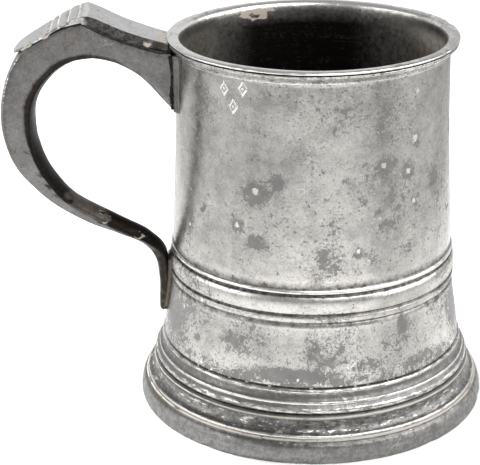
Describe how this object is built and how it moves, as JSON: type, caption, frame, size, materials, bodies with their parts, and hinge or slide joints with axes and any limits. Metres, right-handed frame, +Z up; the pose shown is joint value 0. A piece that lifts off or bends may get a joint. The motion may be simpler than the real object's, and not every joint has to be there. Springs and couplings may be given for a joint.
{
  "type": "pewter tankard",
  "caption": "Lidless pewter tankard with a tapered drum, low turned band, stepped flared foot and an angular handle under a ridged thumb plate.",
  "frame": {"origin": "centre of the foot's flat underside, on the axis of the drum", "axes": "+Z up along the drum's axis; the handle points towards -X"},
  "size_m": [0.187, 0.1368, 0.1565],
  "materials": {
    "pewter_body": "satin aged pewter, warm light grey with dark oxide spots and fine wiping scratches",
    "pewter_foot": "satin aged pewter, darker grey with worn bright edges and pale dirt in the grooves",
    "pewter_handle": "matt aged pewter, mid grey, almost black on the inside of the grip",
    "pewter_plate": "satin aged pewter, light grey, worn on the ridge",
    "solder_seam": "matt dark solder with dirt in the seam"
  },
  "bodies": {
    "root": {"drum": "pewter_body", "foot_ring": "pewter_foot", "foot_solder": "solder_seam", "bottom_disc": "pewter_body", "bottom_solder": "solder_seam", "handle_shell": "pewter_handle", "thumb_plate": "pewter_plate", "plate_solder": "solder_seam", "upper_pad": "pewter_plate", "handle_solder": "solder_seam", "tail_solder": "solder_seam"}
  },
  "joints": []
}
